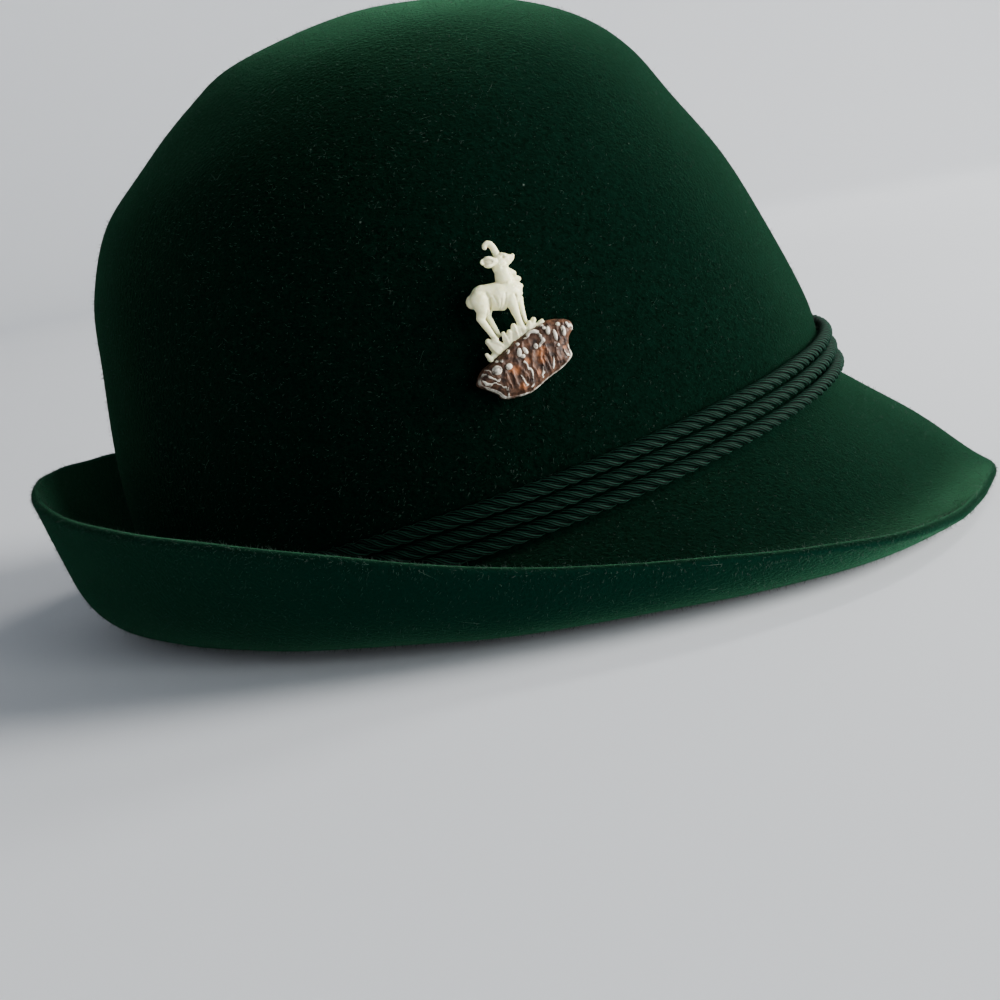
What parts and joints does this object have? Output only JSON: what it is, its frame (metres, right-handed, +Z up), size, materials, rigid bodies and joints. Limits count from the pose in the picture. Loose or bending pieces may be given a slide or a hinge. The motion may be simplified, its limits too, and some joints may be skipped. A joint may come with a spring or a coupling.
{
  "type": "tyrolean hat",
  "caption": "Felt hat with a tapered crown, a brim turned up at the back and down in front, twisted cords as a band, and a carved chamois brooch.",
  "frame": {"origin": "centre of the hat's box on the surface that it stands on", "axes": "+Z up, the hat's front towards -Y, the wearer's right side towards -X"},
  "size_m": [0.2442, 0.2726, 0.1565],
  "materials": {
    "velour_felt": "short velour nap, matt",
    "twisted_cord": "satin yarn",
    "antler_burr": "polished antler",
    "carved_bone": "satin, carved",
    "pin_metal": "brushed"
  },
  "bodies": {
    "root": {"felt_body": "velour_felt", "cord_top": "twisted_cord", "cord_middle": "twisted_cord", "cord_bottom": "twisted_cord", "brooch_burr": "antler_burr", "brooch_chamois": "carved_bone", "brooch_pin": "pin_metal"}
  },
  "joints": []
}
